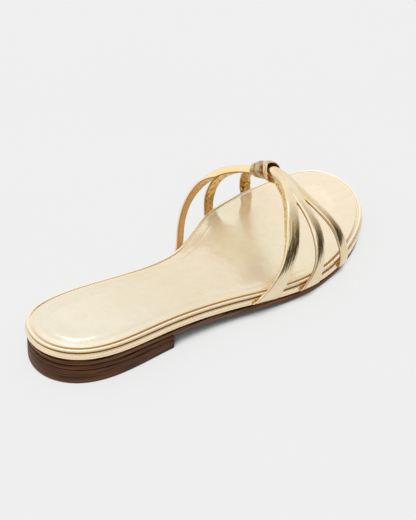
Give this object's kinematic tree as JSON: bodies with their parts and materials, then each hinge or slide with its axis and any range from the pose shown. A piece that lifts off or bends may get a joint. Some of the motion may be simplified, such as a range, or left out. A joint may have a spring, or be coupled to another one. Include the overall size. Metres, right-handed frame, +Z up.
{
  "type": "slide sandal",
  "caption": "Flat slide sandal with strap bands joined in a wrapped knot over the instep, a padded footbed and a low heel.",
  "frame": {"origin": "centre of the bounding box's bottom face, on the floor the shoe stands on", "axes": "+X towards the toe, +Y towards the inner (big toe) side, +Z up"},
  "size_m": [0.25, 0.1004, 0.0519],
  "materials": {
    "brown_sole": "moulded, satin brown",
    "foil_rim": "metallic foil, pale gold",
    "foil_insole": "soft metallic foil, cream gold",
    "foil_strap": "mirror metallic foil, pale gold"
  },
  "bodies": {
    "root": {"outsole": "brown_sole", "heel_lift": "brown_sole", "heel_block": "brown_sole", "midsole": "foil_rim", "insole": "foil_insole", "upper": "foil_strap", "knot": "foil_strap"}
  },
  "joints": []
}
